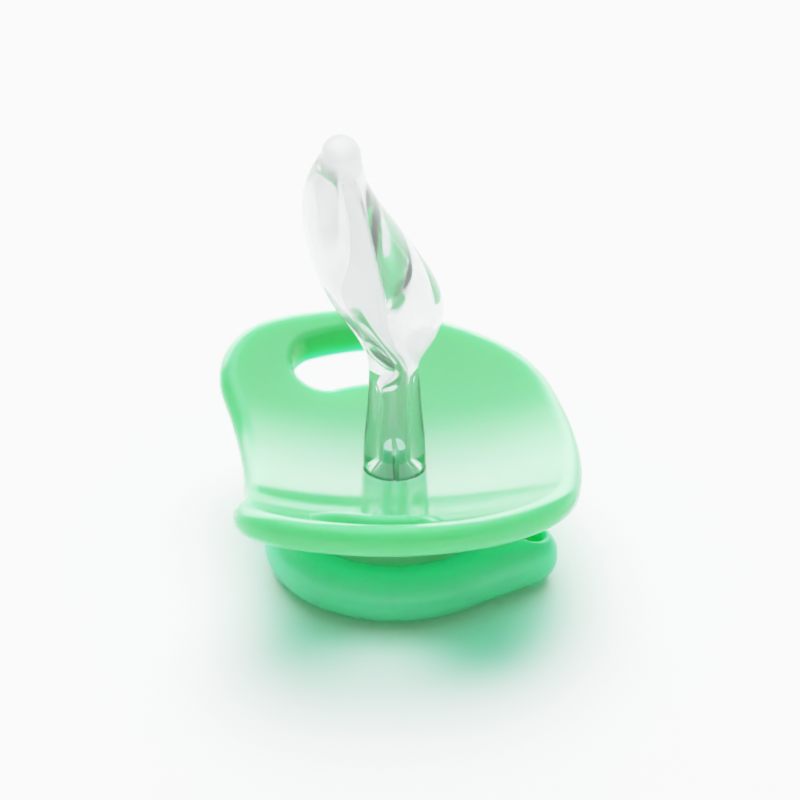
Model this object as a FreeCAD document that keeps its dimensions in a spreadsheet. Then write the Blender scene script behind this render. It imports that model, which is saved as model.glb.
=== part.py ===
import FreeCAD, Part
import math
import os

import Sketcher

# A baby's pacifier standing on its button, teat up. Millimetres, +Z along the teat, origin in the
# middle of the button's flat rear face. +X is the chin side, -X the nose side, Y runs cheek to cheek.
# Five pieces: teat, shield, teat plug, knob and knob cover.

SIZES = {
    # shield: a plate dished in both directions, with a round collar on its back
    "shield_face": 10.8,
    "shield_thickness": 2.9,
    "shield_cheek_radius": 40.5,
    "shield_chin_radius": 54.0,
    "shield_sweep": 48,
    "shield_blank_half": 26,
    "rim_round": 1.4,
    "chin_reach": 17.8,
    "chin_arc": 42,
    "jaw_arc": 14,
    "cheek_arc": 22.1,
    "cheek_reach": 22.9,
    "cheek_centre": -2.4,
    "nose_lobe_arc": 8.4,
    "notch_reach": -14.6,
    "notch_arc": 50,
    "collar_radius": 9.4,
    "collar_low": 5.3,
    "collar_high": 9.7,
    "collar_root_round": 0.8,
    # air holes: short curved slots about the teat, one in each wing
    "vent_inner_arc": 13.85,
    "vent_outer_arc": 19.95,
    "vent_nose_end": -5.8,
    "vent_chin_end": -0.6,
    "vent_face_round": 0.8,
    "vent_back_round": 0.25,
    # stepped bore through the shield
    "seat_radius": 5.5,
    "seat_top": 7.4,
    "flange_recess_radius": 5.0,
    "flange_recess_top": 9.0,
    "neck_hole_radius": 3.05,
    "snap_groove_radius": 5.75,
    "snap_low": 6.2,
    "snap_high": 6.8,
    # plug that holds the teat in, and the knob on
    "head_radius": 6.9,
    "head_low": 1.5,
    "head_high": 2.5,
    "shank_radius": 5.48,
    "snap_bead_radius": 5.68,
    "core_radius": 3.2,
    "core_top": 6.0,
    "nose_radius": 1.94,
    "nose_shoulder": 10.8,
    "nose_step": 12.0,
    "nose_tip_radius": 1.09,
    "nose_tip": 13.45,
    "slot_width": 0.5,
    "slot_low": 8.6,
    # teat: flange, neck, slanted bulb
    "flange_radius": 4.9,
    "flange_low": 7.46,
    "flange_high": 8.94,
    "outside_root_radius": 2.97,
    "outside_root_top": 13.0,
    "outside_waist_radius": 2.45,
    "outside_waist_low": 19.4,
    "outside_tip_cap": 1.7,
    "neck_waist": 20.0,
    "hollow_low": 7.0,
    "hollow_root_radius": 2.0,
    "hollow_root_top": 10.85,
    "hollow_waist_radius": 1.15,
    "hollow_waist_low": 12.05,
    "hollow_tip_cap": 0.5,
    # knob
    "knob_radius": 12.6,
    "knob_thickness": 5.2,
    "knob_rear_round": 2.6,
    "knob_front_round": 2.2,
    "lug_centre": 12.5,
    "lug_radius": 3.5,
    "lug_blend": 400,
    "lug_hole_centre": 13.3,
    "lug_hole_radius": 1.3,
    "lug_hole_round": 0.4,
    "knob_bore_radius": 5.55,
    "knob_web_low": 2.6,
    "knob_recess_radius": 8.95,
    "cover_groove_radius": 9.15,
    "cover_bead_low": 0.5,
    "cover_bead_high": 0.8,
    "knob_turn": -17,
    # knob cover
    "cover_radius": 8.9,
    "cover_bead_radius": 9.06,
    "cover_thickness": 1.2,
    "cover_edge": 0.25,
}

# Stations up the bulb and up the hollow in it: height, lean of the middle (minus is towards the
# nose), half thickness nose to chin, half width cheek to cheek. The hollow's chin-side wall is thick.
STATION_SIZES = ("height", "lean", "thick", "wide")
OUTSIDE_STATIONS = [
    ("throat", 22.3, -0.1, 2.45, 2.9),
    ("swell", 25.6, 0.1, 3.85, 5.0),
    ("shoulder", 28.8, -0.6, 5.15, 6.9),
    ("belly", 32.0, -2.1, 5.2, 7.7),
    ("middle", 35.6, -3.8, 4.45, 7.4),
    ("palate", 39.2, -5.1, 3.45, 6.0),
    ("beak", 42.0, -5.25, 2.5, 4.3),
    ("tip", 43.8, -4.9, 1.85, 3.1),
]
HOLLOW_STATIONS = [
    ("throat", 22.3, 0.3, 0.75, 1.2),
    ("swell", 25.6, -0.5, 1.8, 3.2),
    ("shoulder", 28.8, -1.85, 2.65, 5.2),
    ("belly", 32.0, -2.9, 2.8, 6.0),
    ("middle", 35.6, -3.6, 2.2, 5.7),
    ("palate", 39.2, -4.2, 1.55, 4.3),
    ("beak", 42.0, -4.7, 1.0, 2.7),
    ("tip", 43.8, -4.9, 0.55, 1.4),
]
UP = FreeCAD.Vector(0, 0, 1)
TOLERANCE = 1e-6
DRAWN_MATCH = 0.01


class Length:
    """A number with the sheet formula that gives it, so drawn points and constraints agree."""

    def __init__(self, formula, value):
        self.formula = formula
        self.value = value

    def __add__(self, other):
        return Length(f"({self.formula} + {other.formula})", self.value + other.value)

    def __sub__(self, other):
        return Length(f"({self.formula} - {other.formula})", self.value - other.value)

    def __neg__(self):
        return Length(f"(0 - {self.formula})", -self.value)


ZERO = Length("0", 0.0)


def size(name):
    """The sheet's length of this name."""
    return Length("dims." + name, all_sizes()[name])


def all_sizes():
    """Every driving size, the teat stations' sizes included."""
    named = dict(SIZES)
    for form, stations in (("outside", OUTSIDE_STATIONS), ("hollow", HOLLOW_STATIONS)):
        for station, *numbers in stations:
            for part, number in zip(STATION_SIZES, numbers):
                named[f"{form}_{station}_{part}"] = number
    return named


def fill_sheet(doc):
    """Put every size in the sheet, name beside value, with the name as the cell's alias."""
    sheet = doc.addObject("Spreadsheet::Sheet", "dims")
    for row, (name, number) in enumerate(all_sizes().items(), start=1):
        sheet.set(f"A{row}", name)
        sheet.set(f"B{row}", str(number))
        sheet.setAlias(f"B{row}", name)
    doc.recompute()


def new_body(doc, name):
    """An empty body whose label is the piece's name."""
    body = doc.addObject("PartDesign::Body", name)
    body.Label = name
    return body


def origin_feature(body, role):
    """One of the body's own origin planes or axes."""
    for feature in body.Origin.OriginFeatures:
        if feature.Role == role:
            return feature
    raise ValueError(role)


def new_sketch(body, name, role="XY_Plane", lift=None):
    """A sketch on one of the body's origin planes, moved along the plane's normal by lift."""
    sketch = body.newObject("Sketcher::SketchObject", name)
    sketch.AttachmentSupport = [(origin_feature(body, role), "")]
    sketch.MapMode = "FlatFace"
    if lift is not None:
        sketch.AttachmentOffset = FreeCAD.Placement(UP * lift.value, FreeCAD.Rotation())
        sketch.setExpression("AttachmentOffset.Base.z", lift.formula)
    return sketch


def hold(sketch, kind, *references, length):
    """Add a dimension and tie it to the sheet."""
    index = sketch.addConstraint(Sketcher.Constraint(kind, *references, length.value))
    sketch.setExpression(f"Constraints[{index}]", length.formula)


def hold_point(sketch, shape, end, across, up):
    """Hold a point at its own two distances from the sketch's origin."""
    for kind, axis, length in (("DistanceX", -2, across), ("DistanceY", -1, up)):
        if abs(length.value) < TOLERANCE:
            sketch.addConstraint(Sketcher.Constraint("PointOnObject", shape, end, axis))
        elif length.value < 0:
            hold(sketch, kind, shape, end, -1, 1, length=-length)
        else:
            hold(sketch, kind, -1, 1, shape, end, length=length)


def draw_outline(sketch, corners):
    """A closed outline of straight lines through the corners."""
    count = len(corners)
    points = [FreeCAD.Vector(across.value, up.value, 0) for across, up in corners]
    lines = [Part.LineSegment(points[i], points[(i + 1) % count]) for i in range(count)]
    sketch.addGeometry(lines, False)
    for i in range(count):
        sketch.addConstraint(Sketcher.Constraint("Coincident", i, 2, (i + 1) % count, 1))
    for i, (across, up) in enumerate(corners):
        hold_point(sketch, i, 1, across, up)


def arc_between(centre, start, finish):
    """The arc about centre that runs anticlockwise from start to finish."""
    circle = Part.Circle(centre, UP, (start - centre).Length)
    first = math.atan2(start.y - centre.y, start.x - centre.x)
    last = math.atan2(finish.y - centre.y, finish.x - centre.x)
    return Part.ArcOfCircle(circle, first, last)


def crossing(first, first_radius, second, second_radius, side):
    """Where two circles cross, on the left (side 1) or right (side -1) going first to second."""
    gap = second - first
    along = (first_radius**2 - second_radius**2 + gap.Length**2) / (2 * gap.Length)
    off = math.sqrt(first_radius**2 - along**2)
    along_way = FreeCAD.Vector(gap.x, gap.y, 0) / gap.Length
    left = FreeCAD.Vector(-along_way.y, along_way.x, 0)
    return first + along_way * along + left * (off * side)


def towards(start, target, distance):
    """The point this far from start on the line to target."""
    way = target - start
    return start + way * (distance / way.Length)


def add_feature(body, kind, name, sketch, **settings):
    """A feature made from a sketch; a setting may be a plain value or a sheet length."""
    feature = body.newObject("PartDesign::" + kind, name)
    feature.Profile = sketch
    sketch.Visibility = False
    for setting, wanted in settings.items():
        if isinstance(wanted, Length):
            setattr(feature, setting, wanted.value)
            feature.setExpression(setting, wanted.formula)
        else:
            setattr(feature, setting, wanted)
    return feature


def turn(body, name, sketch, kind="Revolution"):
    """Turn a sketch once round the body's upright axis, adding or cutting."""
    return add_feature(body, kind, name, sketch, ReferenceAxis=(sketch, ["V_Axis"]), Angle=360)


def round_edges(body, name, wanted, radius):
    """Round every edge of the body so far that wanted() picks out."""
    body.Document.recompute()
    base = body.Tip
    picked = [f"Edge{i}" for i, edge in enumerate(base.Shape.Edges, start=1) if wanted(edge)]
    if not picked:
        raise ValueError(f"{name} finds no edges")
    fillet = body.newObject("PartDesign::Fillet", name)
    fillet.Base = (base, picked)
    fillet.Radius = radius.value
    fillet.setExpression("Radius", radius.formula)
    body.Document.recompute()
    return fillet


def is_upright(edge):
    """Whether the edge is a straight line along Z."""
    box = edge.BoundBox
    return box.XLength < TOLERANCE and box.YLength < TOLERANCE


def cut_through(body, name, sketch):
    """Cut a sketch's region right through the body, both ways from the sketch."""
    return add_feature(body, "Pocket", name, sketch, Type="ThroughAll", Midplane=True)


def mirror_cheeks(body, name, feature):
    """Repeat a feature on the other cheek's side."""
    mirrored = body.newObject("PartDesign::Mirrored", name)
    mirrored.Originals = [feature]
    mirrored.MirrorPlane = (origin_feature(body, "XZ_Plane"), [""])
    body.Tip = mirrored
    body.Document.recompute()
    return mirrored


def shield_blank(body):
    """The dished plate before trimming: a crescent swept about a line across the face."""
    sketch = new_sketch(body, "blank_section", "YZ_Plane")
    face = size("shield_face")
    cheek = size("shield_cheek_radius")
    back = cheek + size("shield_thickness")
    half = size("shield_blank_half")
    middle = FreeCAD.Vector(0, (face + cheek).value, 0)
    ends = []
    for radius in (cheek, back):
        fall = math.sqrt(radius.value**2 - half.value**2)
        left = middle + FreeCAD.Vector(-half.value, -fall, 0)
        right = middle + FreeCAD.Vector(half.value, -fall, 0)
        sketch.addGeometry(arc_between(middle, left, right), False)
        ends.append((left, right))
    sketch.addGeometry(Part.LineSegment(ends[0][0], ends[1][0]), False)
    sketch.addGeometry(Part.LineSegment(ends[0][1], ends[1][1]), False)
    axis_height = face + size("shield_chin_radius")
    axis = Part.LineSegment(
        FreeCAD.Vector(-half.value, axis_height.value, 0),
        FreeCAD.Vector(half.value, axis_height.value, 0),
    )
    sketch.addGeometry(axis, True)
    for join in ((0, 1, 2, 1), (1, 1, 2, 2), (0, 2, 3, 1), (1, 2, 3, 2)):
        sketch.addConstraint(Sketcher.Constraint("Coincident", *join))
    sketch.addConstraint(Sketcher.Constraint("Coincident", 0, 3, 1, 3))
    hold_point(sketch, 0, 3, ZERO, face + cheek)
    hold(sketch, "Radius", 0, length=cheek)
    hold(sketch, "Radius", 1, length=back)
    for shape in (0, 1):
        hold(sketch, "DistanceX", shape, 1, -1, 1, length=half)
        hold(sketch, "DistanceX", -1, 1, shape, 2, length=half)
    hold_point(sketch, 4, 1, -half, axis_height)
    hold_point(sketch, 4, 2, half, axis_height)
    return add_feature(
        body, "Revolution", "blank", sketch,
        ReferenceAxis=(sketch, ["Axis0"]), Angle=size("shield_sweep"), Midplane=True,
    )


def trim_outline(body):
    """Cut away everything outside the outline, which is five tangent arcs on each cheek's side."""
    sketch = new_sketch(body, "outline_waste")
    chin_radius = size("chin_arc")
    jaw_radius = size("jaw_arc")
    cheek_radius = size("cheek_arc")
    lobe_radius = size("nose_lobe_arc")
    notch_radius = size("notch_arc")
    chin = FreeCAD.Vector((size("chin_reach") - chin_radius).value, 0, 0)
    cheek = FreeCAD.Vector(size("cheek_centre").value, (size("cheek_reach") - cheek_radius).value, 0)
    notch = FreeCAD.Vector((size("notch_reach") - notch_radius).value, 0, 0)
    jaw = crossing(
        chin, (chin_radius - jaw_radius).value, cheek, (cheek_radius - jaw_radius).value, 1
    )
    lobe = crossing(
        cheek, (cheek_radius - lobe_radius).value, notch, (notch_radius + lobe_radius).value, -1
    )
    chin_tip = FreeCAD.Vector(size("chin_reach").value, 0, 0)
    chin_jaw = towards(chin, jaw, chin_radius.value)
    jaw_cheek = towards(cheek, jaw, cheek_radius.value)
    cheek_lobe = towards(cheek, lobe, cheek_radius.value)
    lobe_notch = towards(notch, lobe, notch_radius.value)
    notch_tip = FreeCAD.Vector(size("notch_reach").value, 0, 0)
    arcs = [
        (chin, chin_tip, chin_jaw),
        (jaw, chin_jaw, jaw_cheek),
        (cheek, jaw_cheek, cheek_lobe),
        (lobe, cheek_lobe, lobe_notch),
        (notch, notch_tip, lobe_notch),
    ]
    for centre, start, finish in arcs:
        sketch.addGeometry(arc_between(centre, start, finish), False)
    far = size("shield_blank_half") + size("rim_round")
    corners = [
        notch_tip,
        FreeCAD.Vector(-far.value, 0, 0),
        FreeCAD.Vector(-far.value, far.value, 0),
        FreeCAD.Vector(far.value, far.value, 0),
        FreeCAD.Vector(far.value, 0, 0),
        chin_tip,
    ]
    for start, finish in zip(corners, corners[1:]):
        sketch.addGeometry(Part.LineSegment(start, finish), False)
    for join in ((0, 2, 1, 1), (1, 2, 2, 1), (2, 2, 3, 1), (3, 2, 4, 2)):
        sketch.addConstraint(Sketcher.Constraint("Tangent", *join))
    for join in ((4, 1, 5, 1), (5, 2, 6, 1), (6, 2, 7, 1), (7, 2, 8, 1), (8, 2, 9, 1), (9, 2, 0, 1)):
        sketch.addConstraint(Sketcher.Constraint("Coincident", *join))
    for shape, radius in enumerate((chin_radius, jaw_radius, cheek_radius, lobe_radius, notch_radius)):
        hold(sketch, "Radius", shape, length=radius)
    hold_point(sketch, 0, 1, size("chin_reach"), ZERO)
    hold_point(sketch, 4, 1, size("notch_reach"), ZERO)
    for shape in (0, 4):
        sketch.addConstraint(Sketcher.Constraint("PointOnObject", shape, 3, -1))
    hold_point(sketch, 2, 3, size("cheek_centre"), size("cheek_reach") - cheek_radius)
    for shape, across, up in ((6, -far, ZERO), (7, -far, far), (8, far, far), (9, far, ZERO)):
        hold_point(sketch, shape, 1, across, up)
    waste = cut_through(body, "trim", sketch)
    mirror_cheeks(body, "trim_both", waste)


def add_collar(body):
    """The round collar behind the plate, which the button turns against."""
    sketch = new_sketch(body, "collar_circle", lift=size("collar_low"))
    draw_circle(sketch, ZERO, ZERO, size("collar_radius"))
    add_feature(
        body, "Pad", "collar", sketch, Length=size("collar_high") - size("collar_low")
    )


def draw_circle(sketch, across, up, radius):
    """A circle held by its centre and radius."""
    middle = FreeCAD.Vector(across.value, up.value, 0)
    shape = sketch.addGeometry(Part.Circle(middle, UP, radius.value), False)
    hold_point(sketch, shape, 3, across, up)
    hold(sketch, "Radius", shape, length=radius)


def cut_vents(body):
    """A curved slot with round ends, about the teat's axis, and its mirror in the other wing."""
    sketch = new_sketch(body, "vent_slot")
    inner = size("vent_inner_arc")
    outer = size("vent_outer_arc")
    middle_radius = (inner.value + outer.value) / 2
    origin = FreeCAD.Vector(0, 0, 0)
    caps = []
    for end in (size("vent_chin_end"), size("vent_nose_end")):
        caps.append(FreeCAD.Vector(end.value, math.sqrt(middle_radius**2 - end.value**2), 0))
    near = [towards(origin, cap, inner.value) for cap in caps]
    away = [towards(origin, cap, outer.value) for cap in caps]
    sketch.addGeometry(arc_between(origin, near[0], near[1]), False)
    sketch.addGeometry(arc_between(origin, away[0], away[1]), False)
    sketch.addGeometry(arc_between(caps[0], near[0], away[0]), False)
    sketch.addGeometry(arc_between(caps[1], away[1], near[1]), False)
    for join in ((0, 1, 2, 1), (1, 1, 2, 2), (1, 2, 3, 1), (0, 2, 3, 2)):
        sketch.addConstraint(Sketcher.Constraint("Tangent", *join))
    for shape, radius in ((0, inner), (1, outer)):
        sketch.addConstraint(Sketcher.Constraint("Coincident", shape, 3, -1, 1))
        hold(sketch, "Radius", shape, length=radius)
    hold(sketch, "DistanceX", 2, 3, -1, 1, length=-size("vent_chin_end"))
    hold(sketch, "DistanceX", 3, 3, -1, 1, length=-size("vent_nose_end"))
    slot = cut_through(body, "vent", sketch)
    mirror_cheeks(body, "vent_both", slot)


def on_vent_mouth(edge):
    """Whether the edge runs round an air hole's mouth: every end is half a slot from its middle."""
    half_slot = (SIZES["vent_outer_arc"] - SIZES["vent_inner_arc"]) / 2
    middle_radius = SIZES["vent_inner_arc"] + half_slot
    if is_upright(edge):
        return False
    for vertex in edge.Vertexes:
        point = FreeCAD.Vector(vertex.X, abs(vertex.Y), 0)
        abreast = point.x * middle_radius / point.Length
        across = min(max(abreast, SIZES["vent_nose_end"]), SIZES["vent_chin_end"])
        middle = FreeCAD.Vector(across, math.sqrt(middle_radius**2 - across**2), 0)
        if abs((point - middle).Length - half_slot) > DRAWN_MATCH:
            return False
    return True


def on_face(edge):
    """Whether the edge's ends lie on the dished face."""
    axis_height = SIZES["shield_face"] + SIZES["shield_chin_radius"]
    cheek_radius = SIZES["shield_cheek_radius"]
    for vertex in edge.Vertexes:
        rise = cheek_radius - math.sqrt(cheek_radius**2 - vertex.Y**2)
        reach = SIZES["shield_chin_radius"] - rise
        height = axis_height - math.sqrt(reach**2 - vertex.X**2)
        if abs(vertex.Z - height) > DRAWN_MATCH:
            return False
    return True


def cut_bore(body):
    """The stepped bore: seat for the plug with its snap groove, flange recess, neck hole."""
    sketch = new_sketch(body, "bore_section", "XZ_Plane")
    below = size("collar_low") - size("rim_round")
    above = size("shield_face") + size("rim_round")
    seat = size("seat_radius")
    recess = size("flange_recess_radius")
    neck = size("neck_hole_radius")
    groove = size("snap_groove_radius")
    draw_outline(sketch, [
        (ZERO, below),
        (seat, below),
        (seat, size("snap_low")),
        (groove, size("snap_low")),
        (groove, size("snap_high")),
        (seat, size("snap_high")),
        (seat, size("seat_top")),
        (recess, size("seat_top")),
        (recess, size("flange_recess_top")),
        (neck, size("flange_recess_top")),
        (neck, above),
        (ZERO, above),
    ])
    turn(body, "bore", sketch, "Groove")


def on_collar_root(edge):
    """Whether the edge is where the collar meets the plate's back."""
    radius = SIZES["collar_radius"]
    at_radius = all(abs(math.hypot(v.X, v.Y) - radius) < DRAWN_MATCH for v in edge.Vertexes)
    above_rear = edge.BoundBox.ZMin > SIZES["collar_low"] + DRAWN_MATCH
    return at_radius and above_rear and not is_upright(edge)


def make_shield(doc):
    """The guard: dished plate with a rounded rim, two air holes, rear collar and stepped bore."""
    body = new_body(doc, "shield")
    shield_blank(body)
    trim_outline(body)
    round_edges(body, "rim", lambda edge: not is_upright(edge), size("rim_round"))
    cut_vents(body)
    round_edges(
        body, "vent_front", lambda edge: on_vent_mouth(edge) and on_face(edge), size("vent_face_round")
    )
    round_edges(body, "vent_back", on_vent_mouth, size("vent_back_round"))
    add_collar(body)
    round_edges(body, "collar_root", on_collar_root, size("collar_root_round"))
    cut_bore(body)
    return body


def make_plug(doc):
    """The pin that holds the knob on and grips the teat: head, shank with snap bead, split nose."""
    body = new_body(doc, "teat_plug")
    sketch = new_sketch(body, "plug_section", "XZ_Plane")
    shank = size("shank_radius")
    bead = size("snap_bead_radius")
    head = size("head_radius")
    core = size("core_radius")
    nose = size("nose_radius")
    tip = size("nose_tip_radius")
    draw_outline(sketch, [
        (ZERO, size("core_top")),
        (core, size("core_top")),
        (core, size("head_low")),
        (head, size("head_low")),
        (head, size("head_high")),
        (shank, size("head_high")),
        (shank, size("snap_low")),
        (bead, size("snap_low")),
        (shank, size("snap_high")),
        (shank, size("seat_top")),
        (nose, size("seat_top")),
        (nose, size("nose_shoulder")),
        (tip, size("nose_step")),
        (tip, size("nose_tip")),
        (ZERO, size("nose_tip")),
    ])
    turn(body, "pin", sketch)
    slot = new_sketch(body, "slot_section", "XZ_Plane")
    half = Length("(dims.slot_width / 2)", SIZES["slot_width"] / 2)
    above = size("nose_tip") + size("slot_width")
    draw_outline(slot, [
        (-half, size("slot_low")),
        (half, size("slot_low")),
        (half, above),
        (-half, above),
    ])
    cut_through(body, "slot", slot)
    return body


def knob_outline(sketch):
    """A circle drawn out into a small rounded lug by a long, barely hollow flank on each side."""
    knob_radius = size("knob_radius")
    lug_radius = size("lug_radius")
    blend_radius = size("lug_blend")
    origin = FreeCAD.Vector(0, 0, 0)
    lug = FreeCAD.Vector(size("lug_centre").value, 0, 0)
    knob_gap = (knob_radius + blend_radius).value
    lug_gap = (lug_radius + blend_radius).value
    left = crossing(origin, knob_gap, lug, lug_gap, 1)
    right = crossing(origin, knob_gap, lug, lug_gap, -1)
    knob_left = towards(origin, left, knob_radius.value)
    knob_right = towards(origin, right, knob_radius.value)
    lug_left = towards(lug, left, lug_radius.value)
    lug_right = towards(lug, right, lug_radius.value)
    arcs = [
        (origin, knob_left, knob_right),
        (right, lug_right, knob_right),
        (lug, lug_right, lug_left),
        (left, knob_left, lug_left),
    ]
    for centre, start, finish in arcs:
        sketch.addGeometry(arc_between(centre, start, finish), False)
    for join in ((0, 2, 1, 2), (1, 1, 2, 1), (2, 2, 3, 2), (3, 1, 0, 1)):
        sketch.addConstraint(Sketcher.Constraint("Tangent", *join))
    for shape, radius in enumerate((knob_radius, blend_radius, lug_radius, blend_radius)):
        hold(sketch, "Radius", shape, length=radius)
    sketch.addConstraint(Sketcher.Constraint("Coincident", 0, 3, -1, 1))
    hold_point(sketch, 2, 3, size("lug_centre"), ZERO)


def on_strap_hole(edge):
    """Whether the edge is a mouth of the hole through the lug, before the knob is turned."""
    axis = FreeCAD.Vector(SIZES["lug_hole_centre"], 0, 0)
    for vertex in edge.Vertexes:
        away = FreeCAD.Vector(vertex.X, vertex.Y, 0) - axis
        if abs(away.Length - SIZES["lug_hole_radius"]) > DRAWN_MATCH:
            return False
    return not is_upright(edge)


def make_knob(doc):
    """The round button: rounded edges, a lug with a strap hole, bore and recess from behind."""
    body = new_body(doc, "knob")
    sketch = new_sketch(body, "knob_plan")
    knob_outline(sketch)
    add_feature(body, "Pad", "disc", sketch, Length=size("knob_thickness"))
    round_edges(
        body, "rear_edge", lambda edge: edge.BoundBox.ZMax < TOLERANCE, size("knob_rear_round")
    )
    top = SIZES["knob_thickness"] - TOLERANCE
    round_edges(
        body, "front_edge", lambda edge: edge.BoundBox.ZMin > top, size("knob_front_round")
    )
    bore = new_sketch(body, "bore_section", "XZ_Plane")
    below = -size("cover_edge")
    above = size("knob_thickness") + size("cover_edge")
    recess = size("knob_recess_radius")
    groove = size("cover_groove_radius")
    draw_outline(bore, [
        (ZERO, below),
        (recess, below),
        (recess, size("cover_bead_low")),
        (groove, size("cover_bead_low")),
        (groove, size("cover_bead_high")),
        (recess, size("cover_bead_high")),
        (recess, size("knob_web_low")),
        (size("knob_bore_radius"), size("knob_web_low")),
        (size("knob_bore_radius"), above),
        (ZERO, above),
    ])
    turn(body, "bore", bore, "Groove")
    strap = new_sketch(body, "strap_hole_circle")
    draw_circle(strap, size("lug_hole_centre"), ZERO, size("lug_hole_radius"))
    cut_through(body, "strap_hole", strap)

    round_edges(body, "strap_hole_mouths", on_strap_hole, size("lug_hole_round"))
    body.Placement = FreeCAD.Placement(
        FreeCAD.Vector(0, 0, 0), FreeCAD.Rotation(UP, SIZES["knob_turn"])
    )
    body.setExpression("Placement.Rotation.Angle", "dims.knob_turn")
    return body


def make_cover(doc):
    """The disc that snaps into the button's back."""
    body = new_body(doc, "knob_cover")
    sketch = new_sketch(body, "cover_section", "XZ_Plane")
    rim = size("cover_radius")
    edge = size("cover_edge")
    draw_outline(sketch, [
        (ZERO, ZERO),
        (rim - edge, ZERO),
        (rim, edge),
        (rim, size("cover_bead_low")),
        (size("cover_bead_radius"), size("cover_bead_high")),
        (rim, size("cover_bead_high")),
        (rim, size("cover_thickness")),
        (ZERO, size("cover_thickness")),
    ])
    turn(body, "disc", sketch)
    return body


def bind(feature, **settings):
    """Give a solid's sizes their values and tie them to the sheet."""
    for setting, length in settings.items():
        setattr(feature, setting, length.value)
        feature.setExpression(setting, length.formula)


def place(feature, lean, height, turned=0):
    """Put a solid at a lean and a height, tied to the sheet, turned about the upright axis."""
    feature.Placement = FreeCAD.Placement(
        FreeCAD.Vector(lean.value, 0, height.value), FreeCAD.Rotation(UP, turned)
    )
    feature.setExpression("Placement.Base.x", lean.formula)
    feature.setExpression("Placement.Base.z", height.formula)


def teat_form(doc, name, stations, low):
    """The teat's outside, or the hollow in it: root, taper, channel, bulb and rounded tip."""
    root_radius = size(name + "_root_radius")
    root_top = size(name + "_root_top")
    waist_radius = size(name + "_waist_radius")
    waist_low = size(name + "_waist_low")
    waist = size("neck_waist")
    root = doc.addObject("Part::Cylinder", name + "_root")
    bind(root, Radius=root_radius, Height=root_top - low)
    place(root, ZERO, low)
    taper = doc.addObject("Part::Cone", name + "_taper")
    bind(taper, Radius1=root_radius, Radius2=waist_radius, Height=waist_low - root_top)
    place(taper, ZERO, root_top)
    channel = doc.addObject("Part::Cylinder", name + "_channel")
    bind(channel, Radius=waist_radius, Height=waist - waist_low)
    place(channel, ZERO, waist_low)
    ring = doc.addObject("Part::Ellipse", name + "_waist")
    bind(ring, MajorRadius=waist_radius, MinorRadius=waist_radius)
    place(ring, ZERO, waist, 90)
    sections = [ring]
    for station, *_ in stations:
        lead = f"{name}_{station}"
        ring = doc.addObject("Part::Ellipse", lead)
        bind(ring, MajorRadius=size(lead + "_wide"), MinorRadius=size(lead + "_thick"))
        place(ring, size(lead + "_lean"), size(lead + "_height"), 90)
        sections.append(ring)
    bulb = doc.addObject("Part::Loft", name + "_bulb")
    bulb.Sections = sections
    bulb.Solid = True
    bulb.Ruled = False
    tip = name + "_tip"
    cap = doc.addObject("Part::Ellipsoid", name + "_cap")
    bind(
        cap, Radius1=size(tip + "_cap"), Radius2=size(tip + "_thick"), Radius3=size(tip + "_wide")
    )
    place(cap, size(tip + "_lean"), size(tip + "_height"))
    whole = doc.addObject("Part::MultiFuse", name)
    whole.Shapes = [root, taper, channel, bulb, cap]
    return whole


def make_teat(doc):
    """The hollow teat: flange under the plate, round neck and a slanted bulb, flatter front to back."""
    flange = doc.addObject("Part::Cylinder", "flange")
    bind(flange, Radius=size("flange_radius"), Height=size("flange_high") - size("flange_low"))
    place(flange, ZERO, size("flange_low"))
    outside = teat_form(doc, "outside", OUTSIDE_STATIONS, size("flange_low"))
    hollow = teat_form(doc, "hollow", HOLLOW_STATIONS, size("hollow_low"))
    solid = doc.addObject("Part::MultiFuse", "solid")
    solid.Shapes = [flange, outside]
    teat = doc.addObject("Part::Cut", "teat")
    teat.Base = solid
    teat.Tool = hollow
    teat.Label = "teat"
    return teat


def check(doc, pieces):
    """Stop if any feature failed or any piece is not one valid solid."""
    for item in doc.Objects:
        if "Invalid" in item.State or "Error" in item.State:
            raise ValueError(f"{item.Name} failed: {item.State}")
    for piece in pieces:
        shape = piece.Shape
        if shape.isNull() or not shape.isValid() or len(shape.Solids) != 1:
            raise ValueError(f"{piece.Label} is not one valid solid")
        print(piece.Label, round(shape.Volume, 2), shape.BoundBox)


def main():
    doc = FreeCAD.newDocument("pacifier")
    fill_sheet(doc)
    pieces = [make_teat(doc), make_shield(doc), make_plug(doc), make_knob(doc), make_cover(doc)]
    doc.recompute()
    check(doc, pieces)
    os.makedirs("parts", exist_ok=True)
    for piece in pieces:
        piece.Shape.exportStep(f"parts/{piece.Label}.step")


main()
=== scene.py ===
import math

import bpy
import numpy as np
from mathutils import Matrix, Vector

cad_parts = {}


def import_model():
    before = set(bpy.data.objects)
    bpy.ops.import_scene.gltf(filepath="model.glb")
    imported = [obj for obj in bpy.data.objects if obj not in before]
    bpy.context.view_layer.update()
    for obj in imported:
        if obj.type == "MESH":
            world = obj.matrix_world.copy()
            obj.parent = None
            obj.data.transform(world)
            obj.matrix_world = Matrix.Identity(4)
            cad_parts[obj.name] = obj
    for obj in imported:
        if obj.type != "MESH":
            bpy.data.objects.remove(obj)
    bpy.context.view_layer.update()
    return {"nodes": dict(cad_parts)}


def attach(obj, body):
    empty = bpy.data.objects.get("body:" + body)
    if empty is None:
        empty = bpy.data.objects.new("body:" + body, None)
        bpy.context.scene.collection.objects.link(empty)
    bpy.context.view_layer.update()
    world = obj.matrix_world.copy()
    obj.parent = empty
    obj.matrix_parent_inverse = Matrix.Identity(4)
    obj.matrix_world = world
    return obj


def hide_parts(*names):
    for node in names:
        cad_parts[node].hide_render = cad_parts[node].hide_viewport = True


# A baby's pacifier standing on its button, teat up, on a pale studio floor under soft light.
# Metres, in the CAD frame: +Z along the teat, +X to the chin side, Y from cheek to cheek.

MM = 0.001

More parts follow.
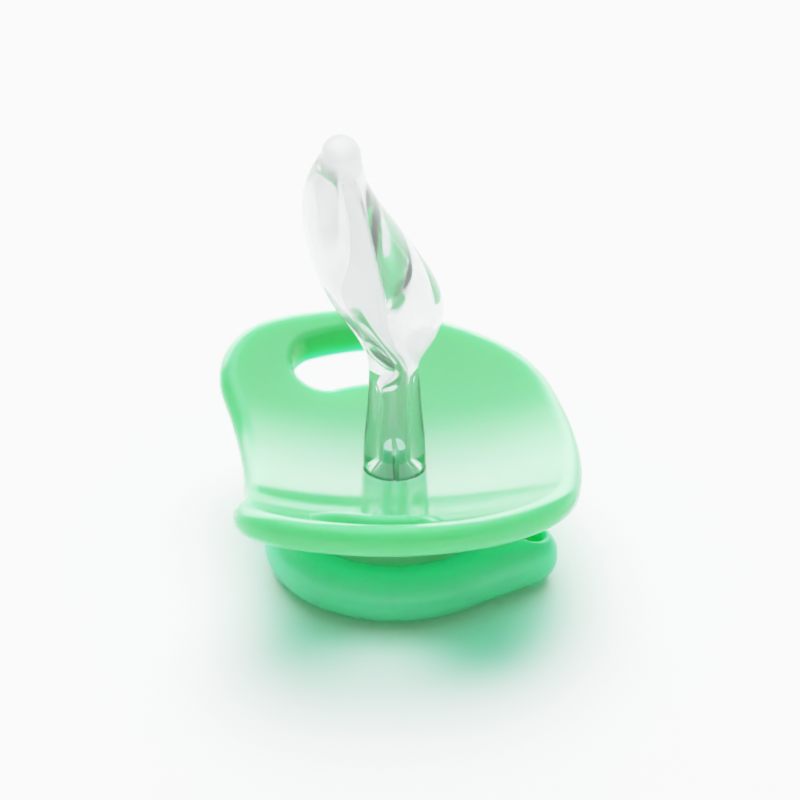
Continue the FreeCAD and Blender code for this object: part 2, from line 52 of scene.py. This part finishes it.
# Teat outline, in millimetres. Rows are height, lean (minus is towards the nose), half thickness
# nose to chin, half width cheek to cheek.
NECK_OUTSIDE = [
    (9.0, 0.0, 2.97, 2.97),
    (13.0, 0.0, 2.97, 2.97),
    (16.0, 0.0, 2.74, 2.74),
    (18.5, 0.0, 2.53, 2.53),
    (20.0, -0.02, 2.45, 2.45),
]
BULB_OUTSIDE = [
    (22.3, -0.1, 2.45, 2.9),
    (25.6, 0.1, 3.85, 5.0),
    (28.8, -0.6, 5.15, 6.9),
    (32.0, -2.1, 5.2, 7.7),
    (35.6, -3.8, 4.45, 7.4),
    (39.2, -5.1, 3.45, 6.0),
    (42.0, -5.25, 2.5, 4.3),
    (43.8, -4.9, 1.85, 3.1),
]
OUTSIDE_CAP = 1.7
CHANNEL = [
    (12.05, 0.0, 1.15, 1.15),
    (16.0, 0.0, 1.15, 1.15),
    (18.5, 0.0, 1.15, 1.15),
    (20.0, 0.0, 1.15, 1.15),
]
BULB_HOLLOW = [
    (22.3, 0.3, 0.75, 1.2),
    (25.6, -0.5, 1.8, 3.2),
    (28.8, -1.85, 2.65, 5.2),
    (32.0, -2.9, 2.8, 6.0),
    (35.6, -3.6, 2.2, 5.7),
    (39.2, -4.2, 1.55, 4.3),
    (42.0, -4.7, 1.0, 2.7),
    (43.8, -4.9, 0.55, 1.4),
]
HOLLOW_CAP = 0.5
FLANGE_RADIUS = 4.9
FLANGE_LOW = 7.46
FLANGE_HIGH = 8.94
MOUTH_RADIUS = 2.0
MOUTH_TOP = 10.85
CORNER = 0.2
RINGS_PER_MM = 4
AROUND = 128
CAP_RINGS = 14

# Colours are linear. The deep ones are for the clouds in the plastic.
FACE_GREEN = (0.14, 0.495, 0.23, 1)
FACE_GREEN_DEEP = (0.13, 0.475, 0.215, 1)
# Painted light and shade: the knob's green is lighter than the shield's to make up for the different
# light each gets; the two may be one plastic.
KNOB_GREEN_PAINTED_LIGHT = (0.155, 0.77, 0.40, 1)
KNOB_GREEN_PAINTED_LIGHT_DEEP = (0.135, 0.745, 0.37, 1)
# Painted light: the plug's green is paler than the shield's, to stand in for the light that hardly
# reaches it inside the teat.
INNER_GREEN_PAINTED_LIGHT = (0.40, 0.84, 0.56, 1)

# The colour and share of the light that passes through the plastic to what lies behind.
LIGHT_THROUGH = (0.15, 1.0, 0.72, 1)
THROUGH_SHARE = 0.46

FLOOR_WHITE = (0.93, 0.93, 0.94, 1)
FLOOR_GREY = (0.91, 0.91, 0.925, 1)

FLOOR_HALF = 4.0
FLOOR_STEPS = 9

# Light in the room. A rise is where a light starts and where it is full: by height for the
# horizon, and by how nearly a direction agrees with OVERHEAD_WAY for the overhead light. The
# overhead light is dimmer in reflections, where it is OVERHEAD_GLINT.
ROOM_LIGHT = 0.2
HORIZON_LIGHT = 0.8
HORIZON_RISE = (0.5, 0.0)
ROOM_TINT = (0.985, 0.985, 1.0, 1)
OVERHEAD_LIGHT = 6.7
OVERHEAD_GLINT = 1.6
OVERHEAD_WAY = (0.0, 0.36, 0.9)
OVERHEAD_RISE = (0.74, 1.0)
BACKDROP = (1.42, 1.42, 1.46, 1)

# The softbox. Each pair is where its light starts and where it is full.
PANEL_AWAY = 0.8
PANEL_HALF = 0.9
PANEL_LIGHT = 5.2
PANEL_TOP = (1.16, 0.50)
PANEL_FOOT = (-0.16, 0.40)
PANEL_SIDE = (0.88, 0.6)

# Tones are pairs of light in the scene and light shown.
TONE_WHITE = 1.8
TONE_TOP = 0.97
TONE_POINTS = [(0.28, 0.28), (0.5, 0.5), (0.72, 0.67), (0.9, 0.765), (1.1, 0.83), (1.4, 0.91)]

# Noise patterns: features per metre, octaves of detail, and how each axis is scaled, where less
# than one draws the pattern out along that axis.
CLOUDS = (90, 3.0)
FLOW_MARKS = (160, 4.0, (1.0, 0.35, 1.0))
MOULD_GRAIN = (5200, 2.0)
HAIRLINES = (900, 5.0, (1.0, 0.06, 1.0))
RIPPLES = (120, 2.0, (1.0, 1.0, 0.4))
RUBBER_GRAIN = (3000, 2.0)
MOTTLE = (6, 2.0)

# The part of a pattern's range that each effect uses.
CLOUD_SPAN = (0.35, 0.7)
FLOW_SPAN = (0.3, 0.75)
HAIRLINE_SPAN = (0.62, 0.72)
RIPPLE_SPAN = (0.3, 0.7)
MOTTLE_SPAN = (0.3, 0.7)

# Bumps are strength and height.
FLOW_BUMP = (0.10, 0.05 * MM)
GRAIN_HEIGHT = 0.01 * MM
RIPPLE_BUMP = (0.06, 0.1 * MM)
RUBBER_BUMP = (0.02, 0.01 * MM)

# Finishes are roughness, strength of the grain, and reach of light inside in millimetres.
SHIELD_FINISH = (0.09, 0.03, 4.5)
PLUG_FINISH = (0.25, 0.1, 3.0)
KNOB_FINISH = (0.34, 0.25, 3.0)
PLASTIC_IOR = 1.5
FLOW_GLOSS = (0.85, 1.2)
HAIRLINE_ROUGHNESS = 0.06
REACH_BY_COLOUR = (0.5, 1.7, 1.0)
EDGE_RADIUS = 0.5 * MM
EDGE_SAMPLES = 4
EDGE_FACING = (0.999, 0.96)
EDGE_WEAR = 0.35
WORN_GAIN = 1.12
WORN_LIFT = 0.03

SILICONE_TINT = (0.765, 0.79, 0.775, 1)
SILICONE_IOR = 1.41
SILICONE_ROUGHNESS = (0.01, 0.025)
SILICONE_WINDOW = (0.95, 0.96, 0.955, 1)
# This white is the silicone's own milk, and also a painted highlight at the tip and a painted
# reflection on the hollow's wall.
MILK_AND_PAINTED_LIGHT = (0.95, 0.96, 0.95, 1)
MILK_AND_PAINTED_LIGHT_FACING = 0.5
MILK_BASE = 0.04
# Painted reflection: extra white on the hollow's wall, standing in for light reflected inside the
# silicone.
HOLLOW_PAINTED_REFLECTION = 0.03
# The tip's extra white is partly milk of the thick solid tip and partly a painted highlight.
TIP_MILK_AND_PAINTED_HIGHLIGHT = 0.6
TIP_MILK_AND_PAINTED_HIGHLIGHT_RISE = (41.5 * MM, 45.0 * MM)

PAPER_ROUGHNESS = 0.6
PAPER_SPECULAR = 0.2

CAMERA_AZIMUTH = -5.0
CAMERA_ELEVATION = 28.4
CAMERA_DISTANCE = 0.350
CAMERA_AIM = 0.0181
CAMERA_LENS = 165.4
CAMERA_SHIFT = 0.0069
CAMERA_FSTOP = 40
CAMERA_SENSOR = 36
CAMERA_FOCUS_SHORT = 0.008
CAMERA_CLIP = 0.01


# ---- shader helpers

def new_material(name):
    """An empty node material and its tree and output."""
    material = bpy.data.materials.new(name)
    material.use_nodes = True
    tree = material.node_tree
    tree.nodes.clear()
    output = tree.nodes.new("ShaderNodeOutputMaterial")
    return material, tree, output


def feed(tree, socket, value):
    """Give a node's input a plain value, or link it to the output given as the value."""
    if isinstance(value, bpy.types.NodeSocket):
        tree.links.new(value, socket)
    else:
        socket.default_value = value


def add_node(tree, kind, settings=None, **inputs):
    """A node with settings by attribute and inputs by name, which may be values or outputs."""
    made = tree.nodes.new(kind)
    for name, value in (settings or {}).items():
        setattr(made, name, value)
    for name, value in inputs.items():
        feed(tree, made.inputs[name.replace("_", " ")], value)
    return made


def noise(tree, place, scale, detail=2.0, stretch=(1, 1, 1)):
    """Noise in object space; scale is in features per metre."""
    mapped = add_node(tree, "ShaderNodeMapping", Vector=place, Scale=stretch)
    made = add_node(
        tree, "ShaderNodeTexNoise", Vector=mapped.outputs["Vector"], Scale=scale, Detail=detail
    )
    return made.outputs["Fac"]


def spread(tree, value, low, high, out_low, out_high):
    """Map a value range to another, clamped."""
    made = add_node(
        tree, "ShaderNodeMapRange", Value=value, From_Min=low, From_Max=high,
        To_Min=out_low, To_Max=out_high,
    )
    return made.outputs["Result"]


def blend_colours(tree, factor, first, second):
    """One colour giving way to another as the factor goes from 0 to 1."""
    made = add_node(tree, "ShaderNodeMix", {"data_type": "RGBA"})
    # A Mix node has its colour sockets after those for numbers and vectors.
    for place, value in ((0, factor), (6, first), (7, second)):
        feed(tree, made.inputs[place], value)
    return made.outputs[2]


def ramp(tree, value, start, end):
    """0 at start and 1 at end with a soft change between them."""
    made = add_node(
        tree, "ShaderNodeMapRange", {"interpolation_type": "SMOOTHSTEP"},
        Value=value, From_Min=start, From_Max=end,
    )
    return made.outputs["Result"]


def math_node(tree, operation, first, second):
    """The named operation on two numbers, either of which may be another node's output."""
    made = add_node(tree, "ShaderNodeMath", {"operation": operation})
    feed(tree, made.inputs[0], first)
    feed(tree, made.inputs[1], second)
    return made.outputs["Value"]


def mix_shaders(tree, factor, first, second):
    """One shader node giving way to another as the factor goes from 0 to 1."""
    made = add_node(tree, "ShaderNodeMixShader", Fac=factor)
    tree.links.new(first.outputs[0], made.inputs[1])
    tree.links.new(second.outputs[0], made.inputs[2])
    return made


def dot_product(tree, first, second):
    """How far two directions agree: 1 where they are the same."""
    made = add_node(tree, "ShaderNodeVectorMath", {"operation": "DOT_PRODUCT"})
    feed(tree, made.inputs[0], first)
    feed(tree, made.inputs[1], second)
    return made.outputs["Value"]


def lighting_ray(tree):
    """1 for the rays that carry light to other surfaces, 0 for those the camera sees by."""
    path = add_node(tree, "ShaderNodeLightPath")
    return math_node(tree, "MAXIMUM", path.outputs["Is Shadow Ray"], path.outputs["Is Diffuse Ray"])


# ---- materials

def worn_colour(colour):
    """The paler colour of a rubbed edge."""
    return tuple(min(1.0, part * WORN_GAIN + WORN_LIFT) for part in colour[:3]) + (1,)


def plastic_tint(tree, place, colour, deep):
    """The plastic's colour: faint clouds of a deeper tone, and paler where edges are rubbed."""
    clouds = noise(tree, place, *CLOUDS)
    tint = blend_colours(tree, spread(tree, clouds, *CLOUD_SPAN, 0.0, 1.0), colour, deep)
    bevel = add_node(tree, "ShaderNodeBevel", {"samples": EDGE_SAMPLES}, Radius=EDGE_RADIUS)
    geometry = add_node(tree, "ShaderNodeNewGeometry")
    facing = dot_product(tree, bevel.outputs["Normal"], geometry.outputs["Normal"])
    edge = spread(tree, facing, *EDGE_FACING, 0.0, EDGE_WEAR)
    return blend_colours(tree, edge, tint, worn_colour(colour))


def plastic_surface(tree, place, gloss, grain):
    """The plastic's roughness and normal: flow marks, hairline scratches and a fine grain."""
    flow = noise(tree, place, *FLOW_MARKS)
    fine = noise(tree, place, *MOULD_GRAIN)
    hair = noise(tree, place, *HAIRLINES)
    least, most = FLOW_GLOSS
    rough = spread(tree, flow, *FLOW_SPAN, gloss * least, gloss * most)
    scratch = spread(tree, hair, *HAIRLINE_SPAN, 0.0, HAIRLINE_ROUGHNESS)
    bump = add_node(tree, "ShaderNodeBump", Strength=grain, Distance=GRAIN_HEIGHT, Height=fine)
    strength, height = FLOW_BUMP
    waves = add_node(
        tree, "ShaderNodeBump", Strength=strength, Distance=height, Height=flow,
        Normal=bump.outputs["Normal"],
    )
    return math_node(tree, "ADD", rough, scratch), waves.outputs["Normal"]


def moulded_plastic(name, colour, deep, gloss, grain, reach):
    """Tinted polypropylene: slightly see-through, faint flow marks, fine grain, rubbed edges."""
    material, tree, output = new_material(name)
    place = add_node(tree, "ShaderNodeTexCoord").outputs["Object"]
    roughness, normal = plastic_surface(tree, place, gloss, grain)
    shader = add_node(
        tree, "ShaderNodeBsdfPrincipled", Base_Color=plastic_tint(tree, place, colour, deep),
        Roughness=roughness, IOR=PLASTIC_IOR, Normal=normal, Subsurface_Weight=1.0,
        Subsurface_Radius=REACH_BY_COLOUR, Subsurface_Scale=reach * MM,
    )
    window = add_node(tree, "ShaderNodeBsdfTransparent", Color=LIGHT_THROUGH)
    share = math_node(tree, "MULTIPLY", lighting_ray(tree), THROUGH_SHARE)
    mixed = mix_shaders(tree, share, shader, window)
    tree.links.new(mixed.outputs["Shader"], output.inputs["Surface"])
    return material


def clear_rubber(tree, place):
    """The see-through part of the silicone, with faint ripples and a finer grain."""
    ripples = noise(tree, place, *RIPPLES)
    fine = noise(tree, place, *RUBBER_GRAIN)
    strength, height = RIPPLE_BUMP
    bump = add_node(tree, "ShaderNodeBump", Strength=strength, Distance=height, Height=ripples)
    strength, height = RUBBER_BUMP
    grain = add_node(
        tree, "ShaderNodeBump", Strength=strength, Distance=height, Height=fine,
        Normal=bump.outputs["Normal"],
    )
    return add_node(
        tree, "ShaderNodeBsdfPrincipled", Base_Color=SILICONE_TINT,
        Roughness=spread(tree, ripples, *RIPPLE_SPAN, *SILICONE_ROUGHNESS), IOR=SILICONE_IOR,
        Transmission_Weight=1.0, Normal=grain.outputs["Normal"],
    )


def milk_and_painted_light(tree, place):
    """How white the silicone is: a little milk all over, painted reflection on the hollow's wall, and
    at the tip both milk and a painted highlight.
    """
    height = add_node(tree, "ShaderNodeSeparateXYZ", Vector=place).outputs["Z"]
    # Painted highlight as well as milk: the tip gets whiter towards its top.
    tip_milk_and_painted_highlight = math_node(tree, "MULTIPLY", ramp(tree, height, *TIP_MILK_AND_PAINTED_HIGHLIGHT_RISE), TIP_MILK_AND_PAINTED_HIGHLIGHT)
    inner = add_node(tree, "ShaderNodeAttribute", {"attribute_name": "hollow"}).outputs["Fac"]
    # Painted reflection on the hollow's wall.
    painted_hollow_reflection = math_node(tree, "MULTIPLY", inner, HOLLOW_PAINTED_REFLECTION)
    return math_node(tree, "ADD", math_node(tree, "ADD", tip_milk_and_painted_highlight, painted_hollow_reflection), MILK_BASE)


def clear_silicone():
    """Clear silicone rubber, a little milky, with a faintly uneven surface. It is whiter with a painted
    reflection on the hollow's wall and a painted highlight at the tip.
    """
    material, tree, output = new_material("clear_silicone_look")
    place = add_node(tree, "ShaderNodeTexCoord").outputs["Object"]
    passing = add_node(tree, "ShaderNodeBsdfTranslucent", Color=MILK_AND_PAINTED_LIGHT)
    facing = add_node(tree, "ShaderNodeBsdfDiffuse", Color=MILK_AND_PAINTED_LIGHT)
    milk_and_painted_light_shader = mix_shaders(tree, MILK_AND_PAINTED_LIGHT_FACING, passing, facing)
    mixed = mix_shaders(tree, milk_and_painted_light(tree, place), clear_rubber(tree, place), milk_and_painted_light_shader)
    window = add_node(tree, "ShaderNodeBsdfTransparent", Color=SILICONE_WINDOW)
    lit = mix_shaders(tree, lighting_ray(tree), mixed, window)
    tree.links.new(lit.outputs["Shader"], output.inputs["Surface"])
    return material


def floor_paper():
    """Matt white studio paper with a very faint mottle, clear when seen from below."""
    material, tree, output = new_material("studio_paper")
    place = add_node(tree, "ShaderNodeTexCoord").outputs["Object"]
    share = spread(tree, noise(tree, place, *MOTTLE), *MOTTLE_SPAN, 0.0, 1.0)
    shader = add_node(
        tree, "ShaderNodeBsdfPrincipled", Roughness=PAPER_ROUGHNESS, Specular_IOR_Level=PAPER_SPECULAR,
        Base_Color=blend_colours(tree, share, FLOOR_WHITE, FLOOR_GREY),
    )
    below = add_node(tree, "ShaderNodeNewGeometry").outputs["Backfacing"]
    clear = add_node(tree, "ShaderNodeBsdfTransparent")
    mixed = mix_shaders(tree, below, shader, clear)
    tree.links.new(mixed.outputs["Shader"], output.inputs["Surface"])
    return material


# ---- teat

def spline(rows, heights):
    """Natural cubic spline through the rows' columns, read at the heights."""
    table = np.array(rows, float)
    knots, values = table[:, 0], table[:, 1:]
    count = len(knots)
    gaps = np.diff(knots)
    system = np.eye(count)
    right = np.zeros((count, values.shape[1]))
    for i in range(1, count - 1):
        system[i, i - 1] = gaps[i - 1]
        system[i, i] = 2 * (gaps[i - 1] + gaps[i])
        system[i, i + 1] = gaps[i]
        slopes = np.diff(values[i - 1:i + 2], axis=0) / gaps[i - 1:i + 1, None]
        right[i] = 6 * (slopes[1] - slopes[0])
    bends = np.linalg.solve(system, right)
    places = np.clip(np.searchsorted(knots, heights) - 1, 0, count - 2)
    width = gaps[places][:, None]
    before = (knots[places + 1] - heights)[:, None]
    after = (heights - knots[places])[:, None]
    low, high = values[places], values[places + 1]
    bend_low, bend_high = bends[places], bends[places + 1]
    return (
        (bend_low * before**3 + bend_high * after**3) / (6 * width)
        + (low / width - bend_low * width / 6) * before
        + (high / width - bend_high * width / 6) * after
    )


def form_rings(neck, bulb, cap):
    """Rings up a neck and bulb and over the rounded tip: height, lean, half thickness, half width."""
    rows = neck + bulb
    low, high = rows[0][0], rows[-1][0]
    heights = np.linspace(low, high, int((high - low) * RINGS_PER_MM))
    shape = spline(rows, heights)
    rings = [(h, *s) for h, s in zip(heights, shape)]
    lean, thick, wide = rows[-1][1:]
    for step in range(1, CAP_RINGS):
        angle = step / CAP_RINGS * math.pi / 2
        rings.append((
            high + cap * math.sin(angle), lean, thick * math.cos(angle), wide * math.cos(angle)
        ))
    return rings, (lean, high + cap)


def teat_rings():
    """The closed skin's rings, down the outside, round the flange and up the hollow.

    With them come the outer tip, the inner tip and the number of rings that are the hollow's.
    """
    outside, outer_tip = form_rings(NECK_OUTSIDE, BULB_OUTSIDE, OUTSIDE_CAP)
    hollow, inner_tip = form_rings(CHANNEL, BULB_HOLLOW, HOLLOW_CAP)
    root = NECK_OUTSIDE[0][2]
    flange = [
        (FLANGE_HIGH, root + CORNER), (FLANGE_HIGH, FLANGE_RADIUS - CORNER),
        (FLANGE_HIGH - CORNER, FLANGE_RADIUS), (FLANGE_LOW + CORNER, FLANGE_RADIUS),
        (FLANGE_LOW, FLANGE_RADIUS - CORNER), (FLANGE_LOW, MOUTH_RADIUS + CORNER),
        (FLANGE_LOW + CORNER, MOUTH_RADIUS), (MOUTH_TOP - CORNER, MOUTH_RADIUS),
        (MOUTH_TOP, MOUTH_RADIUS),
    ]
    rings = outside[::-1] + [(height, 0.0, radius, radius) for height, radius in flange] + hollow
    return rings, outer_tip, inner_tip, len(hollow)


def teat_points(rings, outer_tip, inner_tip):
    """The skin's points in millimetres: ring by ring, then the outer and inner tips."""
    turns = np.arange(AROUND) / AROUND * 2 * math.pi
    points = []
    for height, lean, thick, wide in rings:
        for angle in turns:
            points.append((lean + thick * math.cos(angle), wide * math.sin(angle), height))
    for lean, height in (outer_tip, inner_tip):
        points.append((lean, 0.0, height))
    return points


def teat_faces(ring_count):
    """A fan round the outer tip, bands of quads between rings, and a fan round the inner tip."""
    outer_pole = ring_count * AROUND
    inner_pole = outer_pole + 1
    faces = [(outer_pole, i, (i + 1) % AROUND) for i in range(AROUND)]
    for ring in range(ring_count - 1):
        low, high = ring * AROUND, (ring + 1) * AROUND
        for i in range(AROUND):
            j = (i + 1) % AROUND
            faces.append((low + i, high + i, high + j, low + j))
    last = (ring_count - 1) * AROUND
    faces += [(inner_pole, last + (i + 1) % AROUND, last + i) for i in range(AROUND)]
    return faces


def mark_hollow(mesh, first_inner):
    """Mark the points of the hollow's wall, for the material to find."""
    inside = np.zeros(len(mesh.vertices))
    inside[first_inner:] = 1.0
    outer_pole = len(mesh.vertices) - 2
    inside[outer_pole] = 0.0
    mesh.attributes.new("hollow", "FLOAT", "POINT").data.foreach_set("value", inside)


def make_teat():
    """The hollow teat as one closed skin, replacing its plain CAD solid."""
    rings, outer_tip, inner_tip, hollow_rings = teat_rings()
    points = teat_points(rings, outer_tip, inner_tip)
    mesh = bpy.data.meshes.new("teat_skin")
    mesh.from_pydata([tuple(c * MM for c in point) for point in points], [], teat_faces(len(rings)))
    mesh.validate()
    mesh.shade_smooth()
    mark_hollow(mesh, (len(rings) - hollow_rings) * AROUND)
    teat = bpy.data.objects.new("teat_skin", mesh)
    bpy.context.scene.collection.objects.link(teat)
    mesh.materials.append(clear_silicone())
    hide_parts("teat")
    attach(teat, "guard")


# ---- stage

def make_floor():
    """A broad flat sheet of paper under the object."""
    edges = np.linspace(-FLOOR_HALF, FLOOR_HALF, FLOOR_STEPS)
    points = [(x, y, 0.0) for y in edges for x in edges]
    faces = []
    for row in range(FLOOR_STEPS - 1):
        for column in range(FLOOR_STEPS - 1):
            corner = row * FLOOR_STEPS + column
            faces.append((corner, corner + 1, corner + 1 + FLOOR_STEPS, corner + FLOOR_STEPS))
    mesh = bpy.data.meshes.new("studio_floor")
    mesh.from_pydata(points, [], faces)
    floor = bpy.data.objects.new("studio_floor", mesh)
    bpy.context.scene.collection.objects.link(floor)
    mesh.materials.append(floor_paper())


def panel_glow():
    """White light from the softbox, fading out softly towards its top, foot and ends."""
    material, tree, output = new_material("softbox_glow")
    place = add_node(tree, "ShaderNodeTexCoord").outputs["Object"]
    parts = add_node(tree, "ShaderNodeSeparateXYZ", Vector=place)
    across = math_node(tree, "ABSOLUTE", parts.outputs["X"], 0.0)
    top = ramp(tree, parts.outputs["Z"], *PANEL_TOP)
    foot = ramp(tree, parts.outputs["Z"], *PANEL_FOOT)
    upright = math_node(tree, "MULTIPLY", top, foot)
    mask = math_node(tree, "MULTIPLY", upright, ramp(tree, across, *PANEL_SIDE))
    glow = add_node(tree, "ShaderNodeEmission", Strength=PANEL_LIGHT)
    clear = add_node(tree, "ShaderNodeBsdfTransparent")
    mixed = mix_shaders(tree, mask, clear, glow)
    tree.links.new(mixed.outputs["Shader"], output.inputs["Surface"])
    return material


def make_panel():
    """A tall softbox behind the object, which shows only where surfaces mirror it."""
    high = PANEL_TOP[0]
    points = [(-PANEL_HALF, 0, 0), (PANEL_HALF, 0, 0), (PANEL_HALF, 0, high), (-PANEL_HALF, 0, high)]
    mesh = bpy.data.meshes.new("softbox")
    mesh.from_pydata(points, [], [(0, 1, 2, 3)])
    panel = bpy.data.objects.new("softbox", mesh)
    panel.location.y = PANEL_AWAY
    panel.visible_camera = False
    panel.visible_diffuse = False
    panel.visible_transmission = False
    panel.visible_shadow = False
    bpy.context.scene.collection.objects.link(panel)
    mesh.materials.append(panel_glow())


def make_room():
    """White light, brighter overhead and from the horizon down, and a plain backdrop to look at."""
    world = bpy.data.worlds.new("studio")
    world.use_nodes = True
    tree = world.node_tree
    way = add_node(tree, "ShaderNodeTexCoord").outputs["Generated"]
    facing = dot_product(tree, way, Vector(OVERHEAD_WAY).normalized())
    path = add_node(tree, "ShaderNodeLightPath")
    level = spread(tree, path.outputs["Is Glossy Ray"], 0.0, 1.0, OVERHEAD_LIGHT, OVERHEAD_GLINT)
    overhead = math_node(tree, "MULTIPLY", ramp(tree, facing, *OVERHEAD_RISE), level)
    height = add_node(tree, "ShaderNodeSeparateXYZ", Vector=way).outputs["Z"]
    band = math_node(tree, "MULTIPLY", ramp(tree, height, *HORIZON_RISE), HORIZON_LIGHT)
    room = math_node(tree, "ADD", band, ROOM_LIGHT)
    background = tree.nodes["Background"]
    background.inputs["Color"].default_value = ROOM_TINT
    tree.links.new(math_node(tree, "ADD", overhead, room), background.inputs["Strength"])
    backdrop = add_node(tree, "ShaderNodeBackground", Color=BACKDROP)
    through = path.outputs["Is Transmission Ray"]
    seen = math_node(tree, "MAXIMUM", path.outputs["Is Camera Ray"], through)
    mixed = mix_shaders(tree, seen, background, backdrop)
    tree.links.new(mixed.outputs["Shader"], tree.nodes["World Output"].inputs["Surface"])
    bpy.context.scene.world = world


def set_tones():
    """Plain colours with a soft shoulder, so that near-whites keep their shape."""
    view = bpy.context.scene.view_settings
    view.view_transform = "Standard"
    view.use_curve_mapping = True
    mapping = view.curve_mapping
    mapping.white_level = (TONE_WHITE, TONE_WHITE, TONE_WHITE)
    combined = mapping.curves[3]
    for light, shown in TONE_POINTS:
        combined.points.new(light / TONE_WHITE, shown)
    combined.points[-1].location = (1.0, TONE_TOP)
    mapping.update()


def make_camera():
    """The camera, low over the near cheek, aimed a little below the object's middle."""
    azimuth, elevation = math.radians(CAMERA_AZIMUTH), math.radians(CAMERA_ELEVATION)
    back = Vector((
        math.sin(azimuth) * math.cos(elevation),
        -math.cos(azimuth) * math.cos(elevation),
        math.sin(elevation),
    ))
    data = bpy.data.cameras.new("camera")
    data.lens = CAMERA_LENS
    data.sensor_width = CAMERA_SENSOR
    data.shift_x = CAMERA_SHIFT
    data.dof.use_dof = True
    data.dof.aperture_fstop = CAMERA_FSTOP
    data.dof.focus_distance = CAMERA_DISTANCE - CAMERA_FOCUS_SHORT
    data.clip_start = CAMERA_CLIP
    camera = bpy.data.objects.new("camera", data)
    camera.location = Vector((0, 0, CAMERA_AIM)) + back * CAMERA_DISTANCE
    camera.rotation_euler = (-back).to_track_quat("-Z", "Y").to_euler()
    bpy.context.scene.collection.objects.link(camera)
    bpy.context.scene.camera = camera


def paint(frame, node, material):
    """Give a CAD node one material."""
    piece = frame["nodes"][node]
    piece.data.materials.clear()
    piece.data.materials.append(material)


def main():
    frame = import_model()
    paint(frame, "shield", moulded_plastic("mint_gloss", FACE_GREEN, FACE_GREEN_DEEP, *SHIELD_FINISH))
    # The plug's pale green is painted light.
    paint(frame, "teat_plug", moulded_plastic("mint_inner_painted_light", INNER_GREEN_PAINTED_LIGHT, FACE_GREEN_DEEP, *PLUG_FINISH))
    # The knob's lighter green is painted light.
    knob = moulded_plastic("mint_satin_painted_light", KNOB_GREEN_PAINTED_LIGHT, KNOB_GREEN_PAINTED_LIGHT_DEEP, *KNOB_FINISH)
    paint(frame, "knob", knob)
    paint(frame, "knob_cover", knob)
    make_teat()
    make_floor()
    make_panel()
    make_room()
    make_camera()
    set_tones()


main()
